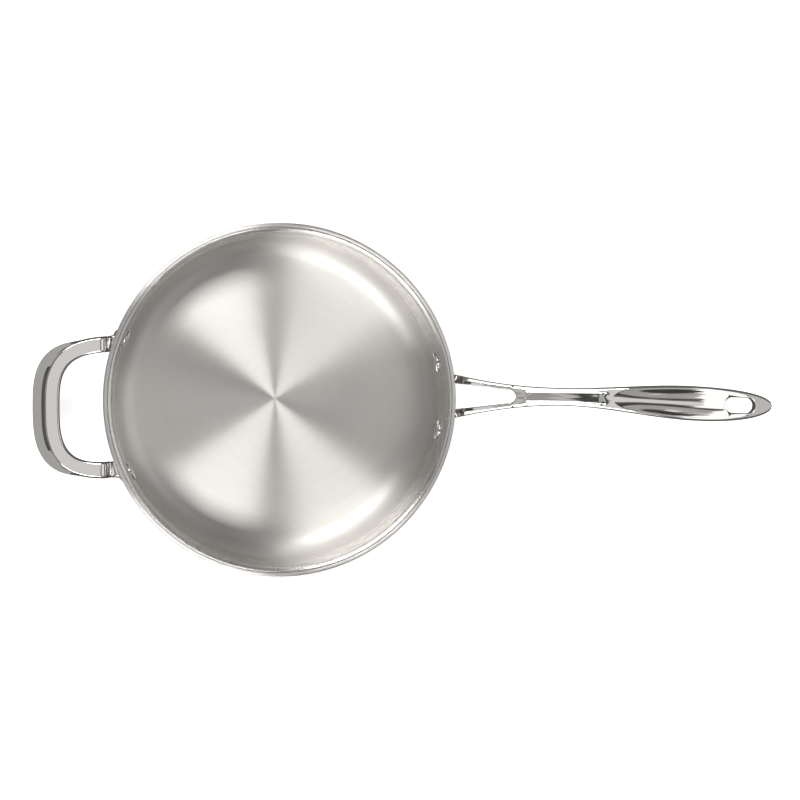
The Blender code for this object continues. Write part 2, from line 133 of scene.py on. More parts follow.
def eased(tree, value, low, high, start=0.0, end=1.0):
    """Ease from start to end while the value goes from low to high."""
    return add_node(tree, "MapRange", [("interpolation_type", "SMOOTHSTEP")],
                    value, low, high, start, end)


def separate(tree, vector):
    return add_node(tree, "SeparateXYZ", Vector=vector).outputs


def vector_calc(tree, operation, *vectors):
    return add_node(tree, "VectorMath", [("operation", operation)], *vectors)


def start_group(name, inputs, outputs):
    """Make a node group and give back its tree, what it is given and the node of its results."""
    tree = bpy.data.node_groups.new(name, "ShaderNodeTree")
    for in_out, sockets in (("INPUT", inputs), ("OUTPUT", outputs)):
        for socket_name, socket_type in sockets:
            tree.interface.new_socket(name=socket_name, in_out=in_out, socket_type=socket_type)
    given = tree.nodes.new("NodeGroupInput")
    return tree, given.outputs, tree.nodes.new("NodeGroupOutput")


def use_group(tree, group, **values):
    return add_node(tree, "Group", [("node_tree", group)], **values).outputs


FLOAT = "NodeSocketFloat"
VECTOR = "NodeSocketVector"

# %% Sums that lights and shapes share
def blend(start, end, share):
    return start + (end - start) * share


def spread(start, end, count):
    return [blend(start, end, step / count) for step in range(count)]


def smooth_step(value):
    """Ease from 0 to 1 while the value goes from 0 to 1."""
    value = min(1.0, max(0.0, value))
    return value * value * (3.0 - 2.0 * value)


def ramp(value, start, length):
    """Ease from 0 to 1 over a length that begins at the start."""
    return smooth_step((value - start) / length)


def round_end(distance, radius):
    """Half width of a round-ended slot at a distance from its end."""
    if distance >= radius:
        return radius
    return sqrt(max(0.0, radius ** 2 - (radius - distance) ** 2))


# %% Spun shapes, objects and blank materials
def spun(outline, steps, start=0.0, turn=2 * pi):
    """Turn a (radius, height) outline about +Z: all the way round, or from a start."""
    bm = bmesh.new()
    verts = [bm.verts.new((radius * cos(start), radius * sin(start), height))
             for radius, height in outline]
    edges = [bm.edges.new(pair) for pair in zip(verts, verts[1:])]
    bmesh.ops.spin(bm, geom=verts + edges, cent=(0, 0, 0), axis=(0, 0, 1),
                   angle=turn, steps=steps, use_merge=turn == 2 * pi)
    bmesh.ops.remove_doubles(bm, verts=bm.verts[:], dist=1e-6)
    return bm


def object_from(name, bm):
    mesh = bpy.data.meshes.new(name)
    bm.to_mesh(mesh)
    bm.free()
    thing = bpy.data.objects.new(name, mesh)
    bpy.context.scene.collection.objects.link(thing)
    return thing


def blank_material(name):
    mat = bpy.data.materials.new(name)
    mat.use_nodes = True
    mat.node_tree.nodes.clear()
    return mat, mat.node_tree


# %% [markdown]
# ## Studio
# Bare metal has almost no colour of its own: it shows the room. A photographer puts large soft
# panels round a pan and leaves black gaps between them, and those gaps draw the dark fans on a
# brushed floor and the dark lines on a polished handle. Panels that are far away can be painted in
# the world shader, as windows with soft edges. `side_panel` is a window in azimuth (0 along the
# long handle, 90 towards the top of the picture) and in zenith angle (0 straight overhead).
# `ceiling_panel` is a rectangle on a flat ceiling one unit above the pan.

# %% Two kinds of distant panel as node groups
def window(tree, value, start, end, edge):
    """1 where the value lies between start and end, easing to 0 over both edges."""
    rise = eased(tree, value, calc(tree, "SUBTRACT", start, edge), calc(tree, "ADD", start, edge))
    fall = eased(tree, value, calc(tree, "ADD", end, edge), calc(tree, "SUBTRACT", end, edge))
    return calc(tree, "MULTIPLY", rise, fall)


def start_panel(name, names):
    tree, given, result = start_group(
        name, [("Direction", VECTOR)] + [(item, FLOAT) for item in names], [("Light", FLOAT)])
    return tree, given, result, separate(tree, given["Direction"])


def build_side_panel():
    tree, given, result, parts = start_panel(
        "side_panel", ("Azimuth", "Half width", "Side edge", "From", "To", "End edge", "Level"))
    turn = calc(tree, "DEGREES", calc(tree, "ARCTAN2", parts["Y"], parts["X"]))
    away = calc(tree, "SUBTRACT", turn, given["Azimuth"])
    away = calc(tree, "ABSOLUTE", calc(tree, "WRAP", away, 180.0, -180.0))
    sideways = window(tree, away, -1000.0, given["Half width"], given["Side edge"])
    zenith = calc(tree, "DEGREES", calc(tree, "ARCCOSINE", parts["Z"]))
    upwards = window(tree, zenith, given["From"], given["To"], given["End edge"])
    lit = calc(tree, "MULTIPLY", upwards, sideways)
    wire(tree, result, Light=calc(tree, "MULTIPLY", lit, given["Level"]))
    return tree


def build_ceiling_panel():
    tree, given, result, parts = start_panel(
        "ceiling_panel", ("X from", "X to", "Y from", "Y to", "Edge", "Level"))
    height = calc(tree, "MAXIMUM", parts["Z"], 0.02)
    lit = calc(tree, "GREATER_THAN", parts["Z"], 0.0)
    for axis in ("X", "Y"):
        across = calc(tree, "DIVIDE", parts[axis], height)
        lit = calc(tree, "MULTIPLY", lit, window(tree, across, given[axis + " from"],
                                                 given[axis + " to"], given["Edge"]))
    wire(tree, result, Light=calc(tree, "MULTIPLY", lit, given["Level"]))
    return tree


side_panel = build_side_panel()
ceiling_panel = build_ceiling_panel()

# %% The studio's distant panels
LAMP_COLOUR = (1.0, 0.985, 0.965, 1.0)
PAPER_WHITE = (1.0, 1.0, 1.0, 1.0)
AMBIENT = 0.055
CEILING_PANELS = (  # x from, x to, y from, y to, edge, level
    (-0.404, -0.333, -0.15, 0.15, 0.010, 0.58),  # light card that the handle's waist shows
    (-0.507, -0.404, -0.15, 0.15, 0.010, 0.33),  # grey card that the sunk panel shows
    (-0.555, -0.507, -0.15, 0.15, 0.010, 0.62),  # light card that the web shows
    (-0.810, -0.555, -0.20, 0.20, 0.010, 0.37),  # grey card that the prongs show
)
SIDE_PANELS = (  # azimuth, half width, side edge, from, to, end edge, level
    (88, 22, 4, 22, 41, 2.0, 0.38),  # grey card on the far side
    (272, 22, 4, 20, 43, 2.0, 0.36),  # grey card on the near side
    (214, 8, 3, 38, 60, 3.0, 1.70),  # edge of the lower key's hood
    (123, 14, 3, 60, 72, 3.0, 2.00),  # low strip under the upper key
    (245, 22, 3, 60, 82, 3.0, 1.90),  # low strip under the lower key
    (6, 16, 6, 47, 60, 4.0, 1.50),  # fill beyond the handle
    (0, 190, 5, -5, 14, 3.0, 0.10),  # faint glow of the white ceiling
    (0, 190, 5, 77, 95, 3.0, 0.35),  # pale walls of the room, near the floor
)


def build_studio():
    world = bpy.data.worlds.new("studio")
    world.use_nodes = True
    tree = world.node_tree
    tree.nodes.clear()
    direction = add_node(tree, "TexCoord").outputs["Generated"]
    total = AMBIENT
    for group, panels in ((ceiling_panel, CEILING_PANELS), (side_panel, SIDE_PANELS)):
        for values in panels:
            light = add_node(tree, "Group", [("node_tree", group)], direction, *values)
            total = calc(tree, "ADD", total, light)
    room = add_node(tree, "Background", Color=LAMP_COLOUR, Strength=total)
    paper = add_node(tree, "Background", Color=PAPER_WHITE)
    seen = add_node(tree, "LightPath").outputs["Is Camera Ray"]
    add_node(tree, "OutputWorld", Surface=add_node(tree, "MixShader", (), seen, room, paper))
    bpy.context.scene.world = world
    print("studio has", len(CEILING_PANELS) + len(SIDE_PANELS), "distant panels")


build_studio()

# %% [markdown]
# ## Near lights
# Some lights stand so close that the pan and the handle see them in different directions, and a
# distant panel can't stand for them. Each key light is a patch of a dome over the pan: an arc spun
# through the light's width. A low card round the helper handle is a patch of a smaller dome. Flat
# sheets hang over the grip, beyond it and over the helper loop, and two upright ones stand on
# either side. The camera doesn't see any of them, and none is part of the pan.

# %% One near light
def add_light(name, bm, strength):
    """Hang up a glowing sheet that the camera doesn't see."""
    light = object_from(name, bm)
    light.visible_camera = False
    mat, tree = blank_material(name)
    glow = add_node(tree, "Emission", Color=LAMP_COLOUR, Strength=strength)
    add_node(tree, "OutputMaterial", Surface=glow)
    light.data.materials.append(mat)


# %% Patches of domes
DOME_PATCHES = (  # name, radius, first azimuth, last azimuth, zenith from, to, strength
    ("lower_key", 1.50, 222.5, 273.0, 23.0, 36.5, 9.40),
    ("upper_key", 1.50, 89.0, 136.5, 23.0, 36.5, 10.60),
    ("loop_card", 0.50, 105.0, 255.0, 56.0, 86.0, 0.46),
)
ARC_STEPS = 6
PATCH_STEPS = 16


def make_dome_patch(name, radius, first, last, start, end, strength):
    zeniths = [radians(start + (end - start) * step / ARC_STEPS) for step in range(ARC_STEPS + 1)]
    arc = [(radius * sin(zenith), radius * cos(zenith)) for zenith in zeniths]
    add_light(name, spun(arc, PATCH_STEPS, radians(first), radians(last - first)), strength)


for dome_patch in DOME_PATCHES:
    make_dome_patch(*dome_patch)

# %% Flat sheets
NEAR_SHEETS = (  # name, x from, x to, (y, z) of one edge, (y, z) of the other, strength
    ("grip_softbox", 0.055, 0.36, (-0.12, 0.90), (0.12, 0.90), 0.80),
    ("grip_strip", 0.365, 0.53, (-0.75, 0.90), (0.20, 0.90), 1.40),
    ("grip_strip_wing", 0.455, 0.555, (0.21, 0.90), (0.75, 0.90), 1.40),
    ("tip_reflector", 0.56, 0.80, (-0.50, 0.90), (0.50, 0.90), 0.62),
    ("loop_softbox", -0.225, -0.115, (-0.12, 0.50), (0.10, 0.50), 0.78),
    ("near_strip", -0.40, 0.13, (-1.20, 0.42), (-1.20, 0.86), 2.00),
    ("far_strip", -0.40, 0.13, (1.20, 0.46), (1.20, 0.86), 2.00),
)


def make_near_sheet(name, x_from, x_to, start, end, strength):
    bm = bmesh.new()
    for vert in bmesh.ops.create_grid(bm, x_segments=1, y_segments=1, size=0.5)["verts"]:
        across, along = vert.co.x + 0.5, vert.co.y + 0.5
        vert.co = (blend(x_from, x_to, across), blend(start[0], end[0], along),
                   blend(start[1], end[1], along))
    add_light(name, bm, strength)


for near_sheet in NEAR_SHEETS:
    make_near_sheet(*near_sheet)
print("near lights:", len(DOME_PATCHES) + len(NEAR_SHEETS))

# %% [markdown]
# ## Table
# The picture's background is pure white with hardly a shadow, as on a light table: a sheet of milky
# plastic that glows a little. The glow is added for the camera only, so that the metal doesn't
# mirror a floor brighter than the panels. The sheet is not part of the pan.

# %% Table
TABLE_HALF = 40.0
TABLE_GAP = 0.0003
TABLE_MIRRORED = (0.12, 0.12, 0.12, 1.0)
TABLE_SEEN = (0.90, 0.90, 0.90, 1.0)
TABLE_GLOW = 0.66


def build_table():
    bm = bmesh.new()
    bmesh.ops.create_grid(bm, x_segments=1, y_segments=1, size=TABLE_HALF)
    sheet = object_from("light_table", bm)
    sheet.location.z = -TABLE_GAP
    mat, tree = blank_material("milky_sheet")
    seen = add_node(tree, "LightPath").outputs["Is Camera Ray"]
    colour = add_node(tree, "Mix", [("data_type", "RGBA")], Factor=seen, A=TABLE_MIRRORED,
                      B=TABLE_SEEN)
    diffuse = add_node(tree, "BsdfDiffuse", Color=colour.outputs["Result"])
    glow = add_node(tree, "Emission", Strength=calc(tree, "MULTIPLY", seen, TABLE_GLOW))
    add_node(tree, "OutputMaterial", Surface=add_node(tree, "AddShader", (), diffuse, glow))
    sheet.data.materials.append(mat)


build_table()

# %% [markdown]
# ## Shared effects
# Five effects are used by more than one steel, so each is a node group with named inputs.
# `ring_grain` is the mark of an abrasive belt held against a turning pan: fine grooves that run
# round the axis and fade in and out along their length. `buffing_marks` are the faint crossing
# scratches left by a polishing wheel. `handling` is the uneven film that hands and cloths leave.
# `worn_edge` finds edges, where a polished casting is rubbed brighter and smoother. `belt_lines`
# are the long shallow marks that a belt leaves along the handle: each tips the surface a little
# towards one end of the handle, and that breaks the edge of a reflection into fingers.

# %% Shared effects
def noise(tree, place, scale, detail, roughness):
    return add_node(tree, "TexNoise", Vector=place, Scale=scale, Detail=detail,
                    Roughness=roughness).outputs["Fac"]


def object_place(tree):
    return add_node(tree, "TexCoord").outputs["Object"]


def build_ring_grain():
    tree, given, result = start_group(
        "ring_grain", (("Grooves per metre", FLOAT), ("Breaks per turn", FLOAT)),
        (("Height", FLOAT), ("Tone", FLOAT)))
    place = separate(tree, object_place(tree))
    radius = calc(tree, "SQRT", calc(tree, "ADD", calc(tree, "POWER", place["X"], 2.0),
                                     calc(tree, "POWER", place["Y"], 2.0)))
    safe = calc(tree, "MAXIMUM", radius, 0.0005)
    path = calc(tree, "SUBTRACT", radius, place["Z"])
    around = {name: calc(tree, "MULTIPLY", calc(tree, "DIVIDE", place[name], safe),
                         given["Breaks per turn"]) for name in ("X", "Y")}
    for name, share in (("Height", 1.0), ("Tone", 0.12)):
        step = calc(tree, "MULTIPLY", given["Grooves per metre"], share)
        point = add_node(tree, "CombineXYZ", Z=calc(tree, "MULTIPLY", path, step), **around)
        wire(tree, result, **{name: noise(tree, point, 1.0, 3.0, 0.6)})
    return tree


def build_buffing_marks():
    tree, given, result = start_group(
        "buffing_marks", (("Marks per metre", FLOAT),), (("Height", FLOAT), ("Tone", FLOAT)))
    place = object_place(tree)
    layers = []
    for turn in (0.35, 1.9):
        mapping = add_node(tree, "Mapping", Vector=place, Rotation=(turn, 0.4 * turn, turn),
                           Scale=(0.06, 1.0, 1.0))
        layers.append(noise(tree, mapping, given["Marks per metre"], 2.0, 0.6))
    wire(tree, result, Height=calc(tree, "ADD", *layers), Tone=layers[0])
    return tree


def build_handling():
    tree, given, result = start_group("handling", (("Patch size", FLOAT),), (("Film", FLOAT),))
    per_metre = calc(tree, "DIVIDE", 1.0, given["Patch size"])
    spots = noise(tree, object_place(tree), per_metre, 4.0, 0.55)
    wire(tree, result, Film=eased(tree, spots, 0.42, 0.70))
    return tree


def build_worn_edge():
    tree, given, result = start_group(
        "worn_edge", (("Start", FLOAT), ("Full", FLOAT)), (("Wear", FLOAT),))
    sharpness = add_node(tree, "NewGeometry").outputs["Pointiness"]
    wire(tree, result, Wear=eased(tree, sharpness, given["Start"], given["Full"]))
    return tree


def build_belt_lines():
    tree, given, result = start_group(
        "belt_lines", (("Lines per metre", FLOAT), ("Length", FLOAT), ("Tilt", FLOAT)),
        (("Normal", VECTOR),))
    per_length = calc(tree, "DIVIDE", 1.0, given["Length"])
    stretch = add_node(tree, "CombineXYZ", (), per_length, given["Lines per metre"], per_length)
    mapping = add_node(tree, "Mapping", Vector=object_place(tree), Scale=stretch)
    off_middle = calc(tree, "SUBTRACT", noise(tree, mapping, 1.0, 2.0, 0.5), 0.5)
    lean = add_node(tree, "CombineXYZ", X=calc(tree, "MULTIPLY", off_middle, given["Tilt"]))
    straight = add_node(tree, "NewGeometry").outputs["Normal"]
    tipped = vector_calc(tree, "ADD", straight, lean)
    wire(tree, result, Normal=vector_calc(tree, "NORMALIZE", tipped))
    return tree


ring_grain = build_ring_grain()
belt_lines = build_belt_lines()
buffing_marks = build_buffing_marks()
handling = build_handling()
worn_edge = build_worn_edge()
print("shared effects:", [group.name for group in bpy.data.node_groups])

# %% [markdown]
# ## Steels
# Every steel is one Principled shader at full metal. Its colour is the reflectance of the alloy,
# which is a little warm for stainless and a little cool for aluminium. The effects only shift the
# colour and the roughness slightly and raise a very low bump. The brushed skins also stretch their
# highlights across the grooves: the tangent runs round the pan's axis, and a quarter turn points
# the stretch along the radius, which is what opens the highlight into fans.

# %% Steels
BREAKS_PER_TURN = 3.0
QUARTER_TURN = 0.25
FINER_FROM, FINER_TO = 0.010, 0.024  # heights between which the brushing gets finer
POLISHED_PATCH, BRUSHED_PATCH = 0.018, 0.035  # patches of the film that hands leave
WORN_STEEL = (0.86, 0.85, 0.84, 1.0)
BELT_LINES_PER_METRE = 360.0
BELT_LINE_LENGTH = 0.04
SCRATCH_DEPTH = 0.000002


def tinted(tree, base, tone, amount):
    """The base colour, made lighter and darker by a tone that varies round 0.5."""
    scale = calc(tree, "MULTIPLY_ADD", tone, 2 * amount, 1 - amount)
    return wire(tree, vector_calc(tree, "SCALE", base), Scale=scale)


def bump(tree, shader, height, distance, strength, normal=None):
    node = add_node(tree, "Bump", Height=height, Distance=distance, Strength=strength)
    if normal:
        wire(tree, node, Normal=normal)
    wire(tree, shader, Normal=node)


def start_steel(name):
    mat = bpy.data.materials.new(name)
    mat.use_nodes = True
    shader = mat.node_tree.nodes["Principled BSDF"]
    shader.inputs["Metallic"].default_value = 1.0
    return mat, mat.node_tree, shader


def brushed_steel(name, base, roughness, grooves, depth, anisotropy=0.97, finer_wall=0.0):
    """Ring-brushed steel, with a wall that can be brushed finer than the floor."""
    mat, tree, shader = start_steel(name)
    grain = use_group(tree, ring_grain, Grooves_per_metre=grooves, Breaks_per_turn=BREAKS_PER_TURN)
    film = use_group(tree, handling, Patch_size=BRUSHED_PATCH)["Film"]
    rough = calc(tree, "MULTIPLY_ADD", grain["Tone"], 0.08, roughness - 0.04)
    rough = calc(tree, "MULTIPLY_ADD", film, 0.02, rough)
    height = separate(tree, object_place(tree))["Z"]
    finer = eased(tree, height, FINER_FROM, FINER_TO, 0.0, finer_wall)
    around = add_node(tree, "Tangent", [("direction_type", "RADIAL"), ("axis", "Z")])
    wire(tree, shader, Base_Color=tinted(tree, base, grain["Tone"], 0.05),
         Roughness=calc(tree, "SUBTRACT", rough, finer), Anisotropic=anisotropy,
         Anisotropic_Rotation=QUARTER_TURN, Tangent=around)
    bump(tree, shader, grain["Height"], depth, 0.5)
    return mat


def polished_steel(name, base, roughness, marks=900.0, tilt=0.0):
    """Buffed steel. The tilt is how far its belt lines tip the surface, as a slope."""
    mat, tree, shader = start_steel(name)
    scratches = use_group(tree, buffing_marks, Marks_per_metre=marks)
    film = use_group(tree, handling, Patch_size=POLISHED_PATCH)["Film"]
    wear = use_group(tree, worn_edge, Start=0.53, Full=0.62)["Wear"]
    light = tinted(tree, base, scratches["Tone"], 0.02)
    colour = add_node(tree, "Mix", [("data_type", "RGBA")], A=light, B=WORN_STEEL,
                      Factor=calc(tree, "MULTIPLY", wear, 0.5))
    rough = calc(tree, "MULTIPLY_ADD", film, 0.04, roughness)
    rough = calc(tree, "MULTIPLY_ADD", scratches["Tone"], 0.03, rough)
    rough = calc(tree, "MULTIPLY_ADD", wear, -0.02, rough)
    wire(tree, shader, Base_Color=colour.outputs["Result"], Roughness=rough)
    lines = use_group(tree, belt_lines, Lines_per_metre=BELT_LINES_PER_METRE,
                      Length=BELT_LINE_LENGTH, Tilt=tilt)["Normal"]
    bump(tree, shader, scratches["Height"], SCRATCH_DEPTH, 1.0, lines)
    return mat


interior_steel = brushed_steel("interior_steel", (0.74, 0.725, 0.705), 0.36, 2200.0, 0.00002,
                               finer_wall=0.09)
exterior_steel = brushed_steel("exterior_steel", (0.76, 0.75, 0.735), 0.32, 2600.0, 0.00002)
core_metal = brushed_steel("core_metal", (0.80, 0.81, 0.82), 0.45, 1500.0, 0.00003, 0.3)
casting_steel = polished_steel("casting_steel", (0.76, 0.75, 0.735), 0.05, tilt=0.13)
loop_steel = polished_steel("loop_steel", (0.76, 0.75, 0.735), 0.06)
rivet_steel = polished_steel("rivet_steel", (0.78, 0.775, 0.77), 0.04, 1400.0)
print("steels:", [mat.name for mat in bpy.data.materials if mat.name.endswith("steel")])

# %% [markdown]
# ## Finishing a piece
# Each mesh leaves its bmesh in the same way: normals pointing out, smooth shading with sharp edges
# kept, one material, its place in the mesh and its object at the origin. Then it rides on the pan's
# only body and takes the place of its CAD node.

# %% Finishing a piece
SHARP_FROM = radians(38.0)


def finished(name, bm, mat, node):
    bmesh.ops.recalc_face_normals(bm, faces=bm.faces[:])
    piece = object_from(name, bm)
    piece.data.shade_smooth()
    piece.data.set_sharp_from_angle(angle=SHARP_FROM)
    piece.data.materials.append(mat)
    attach(piece, "root")
    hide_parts(node)
    print(name, "has", len(piece.data.polygons), "faces")
    return piece


# %% [markdown]
# ## Clad body
# The wall is three metals bonded in one sheet: a stainless cooking skin, an aluminium core and a
# magnetic outer skin. The press rolls the lip over, and the outer skin is turned round the edge.
# All of it is round, so a half outline is drawn once from a few vertices and spun about the axis.
# The core lies hidden between the skins, so its CAD node stays and only gets its metal.

# %% Sizes of the clad body
RIM_HEIGHT = 0.064
CAVITY_RADIUS = 0.130
CORNER_RADIUS = 0.0185
WALL_FLARE = radians(1.0)
LIP_BEND = 0.0042
RIM_BAND = 0.0034
RIM_ROUNDING = 0.0011
SKIN = 0.0006
WALL = 0.0030
SEAM = 0.0003
SEAM_ROUNDING = 0.00035
BAND_ROUNDING = 0.0004
EDGE_CHAMFER = 0.0001
FLOOR_RINGS, CORNER_RINGS, WALL_RINGS, LIP_RINGS, RIM_RINGS = 14, 12, 6, 8, 6
TURN_STEPS = 192

LIP_RADIUS = CAVITY_RADIUS + LIP_BEND * cos(WALL_FLARE)
LIP_HEIGHT = RIM_HEIGHT - LIP_BEND
RIM_RADIUS = LIP_RADIUS + RIM_BAND
CORNER_HEIGHT = WALL + CORNER_RADIUS


def wall_radius(height):
    """Inside radius of the wall at a height."""
    return CAVITY_RADIUS - (LIP_HEIGHT + LIP_BEND * sin(WALL_FLARE) - height) * tan(WALL_FLARE)


FLOOR_RADIUS = (wall_radius(CORNER_HEIGHT - CORNER_RADIUS * sin(WALL_FLARE))
                - CORNER_RADIUS * cos(WALL_FLARE))
print("floor radius", round(1000 * FLOOR_RADIUS, 2), "mm")

# %% Outline of one face of the sheet, from the axis to the lip
def sheet_face(depth):
    points = [(FLOOR_RADIUS * step / FLOOR_RINGS, WALL - depth) for step in range(FLOOR_RINGS)]
    for step in range(CORNER_RINGS + 1):
        angle = blend(-pi / 2, -WALL_FLARE, step / CORNER_RINGS)
        reach = CORNER_RADIUS + depth
        points.append((FLOOR_RADIUS + reach * cos(angle), CORNER_HEIGHT + reach * sin(angle)))
    foot, top = points[-1], CAVITY_RADIUS + depth
    for step in range(1, WALL_RINGS):
        share = step / WALL_RINGS
        points.append((blend(foot[0], top, share), blend(foot[1], LIP_HEIGHT, share)))
    for step in range(LIP_RINGS + 1):
        angle = blend(pi - WALL_FLARE, pi / 2, step / LIP_RINGS)
        reach = LIP_BEND - depth
        points.append((LIP_RADIUS + reach * cos(angle), LIP_HEIGHT + reach * sin(angle)))
    return points


# %% Cooking skin
def make_cooking_skin():
    top = sheet_face(0.0)[:-1]
    seam = [(LIP_RADIUS - SEAM_ROUNDING, RIM_HEIGHT - 0.00002),
            (LIP_RADIUS - EDGE_CHAMFER, RIM_HEIGHT - EDGE_CHAMFER),
            (LIP_RADIUS, RIM_HEIGHT - SEAM_ROUNDING)]
    bm = spun(sheet_face(SKIN) + seam[::-1] + top[::-1], TURN_STEPS)
    finished("cooking_skin", bm, interior_steel, "inner_liner")


make_cooking_skin()

# %% Outer skin, with the turned edge of the rim
def make_outer_skin():
    rolled = []
    for side, start in ((-1, -pi / 2), (1, 0.0)):
        middle = RIM_HEIGHT - WALL / 2 + side * (WALL / 2 - RIM_ROUNDING)
        for step in range(RIM_RINGS + 1):
            angle = start + pi / 2 * step / RIM_RINGS
            rolled.append((RIM_RADIUS - RIM_ROUNDING + RIM_ROUNDING * cos(angle),
                           middle + RIM_ROUNDING * sin(angle)))
    band = LIP_RADIUS + SEAM
    lip = [(band + BAND_ROUNDING, RIM_HEIGHT), (band + EDGE_CHAMFER, RIM_HEIGHT - EDGE_CHAMFER),
           (band, RIM_HEIGHT - BAND_ROUNDING), (band, RIM_HEIGHT - WALL + SKIN)]
    bm = spun(sheet_face(WALL) + rolled + lip + sheet_face(WALL - SKIN)[::-1], TURN_STEPS)
    finished("outer_skin", bm, exterior_steel, "outer_shell")


make_outer_skin()
frame["nodes"]["aluminium_core"].material_slots[0].material = core_metal

# %% [markdown]
# ## Castings from blocks of cells
# Both handles are investment castings: smooth, with no straight length anywhere. Such a shape is
# drawn as a ship is, by its cross-sections. A grid is extruded twice into a flat block of cells,
# its corners are moved to their places, section by section, and a subdivision surface rounds it.
# Where a prong meets its foot, the two open rims are bridged.

# %% Blocks of cells
CAST_LEVELS = 2


def block_faces(verts, wanted):
    """Faces on the corners of a block whose centre passes a test."""
    faces = {face: None for vert in verts for face in vert.link_faces}
    return [face for face in faces if wanted(face.calc_center_median())]


def raise_level(bm, faces):
    """Extrude faces one level up, and give back the new faces and their corners."""
    raised = bmesh.ops.extrude_face_region(bm, geom=faces, use_keep_orig=True)["geom"]
    corners = [item for item in raised if isinstance(item, bmesh.types.BMVert)]
    bmesh.ops.translate(bm, verts=corners, vec=(0, 0, 1))
    return [item for item in raised if isinstance(item, bmesh.types.BMFace)], corners


def cell_block(bm, columns, rows, is_open=None):
    """Add a closed block whose corners count its cells, with z at -1, 0 or 1."""
    verts = bmesh.ops.create_grid(bm, x_segments=columns, y_segments=rows, size=0.5)["verts"]
    for vert in verts:
        vert.co = (round((vert.co.x + 0.5) * columns), round((vert.co.y + 0.5) * rows), -1.0)
    faces = block_faces(verts, lambda centre: True)
    if is_open:
        holes = [face for face in faces if is_open(face.calc_center_median())]
        faces = [face for face in faces if face not in holes]
        bmesh.ops.delete(bm, geom=holes, context="FACES")
    middle, middle_corners = raise_level(bm, faces)
    top_corners = raise_level(bm, middle)[1]
    bmesh.ops.delete(bm, geom=middle, context="FACES")
    return [vert for vert in verts + middle_corners + top_corners if vert.is_valid]


def place(verts, corner):
    """Move each corner from its cell count to its place."""
    for vert in verts:
        column, row, level = vert.co
        vert.co = corner(round(column), round(row), round(level))


def open_rim(bm, faces):
    """Remove a patch of faces and give back the edges round the opening."""
    inside = set(faces)
    edges = {edge: None for face in faces for edge in face.edges}
    rim = [edge for edge in edges if sum(face in inside for face in edge.link_faces) == 1]
    bmesh.ops.delete(bm, geom=faces, context="FACES")
    return rim


def join(bm, roots, patches):
    """Run the open ends of a casting into the matching openings in its feet."""
    for root, patch in zip(roots, patches):
        bmesh.ops.bridge_loops(bm, edges=open_rim(bm, root) + open_rim(bm, patch))


def rounded(piece):
    rounding = piece.modifiers.new("cast rounding", "SUBSURF")
    rounding.levels = rounding.render_levels = CAST_LEVELS


# %% [markdown]
# ## Feet
# Each handle ends in a foot, a plate 3.5 mm thick that hugs the wall and carries the rivets. It is
# a block of cells wrapped round the pan's axis, lower at its round ends.

# %% Feet
RIVET_HEIGHT = 0.042
INNER_HEAD_RADIUS, OUTER_HEAD_RADIUS = 0.0077, 0.0045
FOOT_BOTTOM = RIVET_HEIGHT - 0.0095
FOOT_TOP = RIVET_HEIGHT + 0.0150
FOOT_GAP = 0.0004
FOOT_THICKNESS = 0.0035
ROOT_BOTTOM = RIVET_HEIGHT + 0.0058
ROOT_TOP = ROOT_BOTTOM + 0.0070
ROOT_STANDOFF = 0.0016
FOOT_INNER_RADIUS = wall_radius(FOOT_TOP) + WALL + FOOT_GAP
FOOT_OUTER_RADIUS = FOOT_INNER_RADIUS + FOOT_THICKNESS
FOOT_HEIGHTS = (FOOT_BOTTOM, FOOT_BOTTOM + 0.002, RIVET_HEIGHT + OUTER_HEAD_RADIUS, ROOT_BOTTOM,
                blend(ROOT_BOTTOM, ROOT_TOP, 0.5), ROOT_TOP, FOOT_TOP - 0.0012, FOOT_TOP)
ROOT_ROWS = (3, 5)
FOOT_END_SHARE = 0.45


def add_foot(bm, laterals, side, rounding, patches):
    """Add a foot that hugs the wall, and find the patches where the roots join it."""
    verts = cell_block(bm, len(laterals) - 1, len(FOOT_HEIGHTS) - 1)
    openings = []
    for first, last in patches:
        openings.append(block_faces(verts, lambda c: (
            c.z > 0.9 and first < c.x < last and ROOT_ROWS[0] < c.y < ROOT_ROWS[1])))

    def corner(column, row, level):
        lateral = laterals[column]
        from_end = min(abs(lateral - laterals[0]), abs(lateral - laterals[-1]))
        share = blend(FOOT_END_SHARE, 1, round_end(from_end, rounding) / rounding)
        height = RIVET_HEIGHT + (FOOT_HEIGHTS[row] - RIVET_HEIGHT) * share
        radius = blend(FOOT_INNER_RADIUS, FOOT_OUTER_RADIUS, (level + 1) / 2)
        aside = side + lateral
        return sqrt(radius ** 2 - aside ** 2), aside, height
    place(verts, corner)
    return openings


# %% [markdown]
# ## Long handle: sections
# Seen from above, two prongs run together into a slim waist with a flat sunk panel, and the waist
# swells into a grip with a long hollow and a hole to hang it by. From the side it climbs and levels
# out. Eleven corners describe half of a section's top: up to the fourth lie the panel or the
# hollow, the next three climb its border and cross its flat crest, and the last ones fall over the
# bevel to the outer edge. Two corners close together hold an edge crisp under the subdivision.

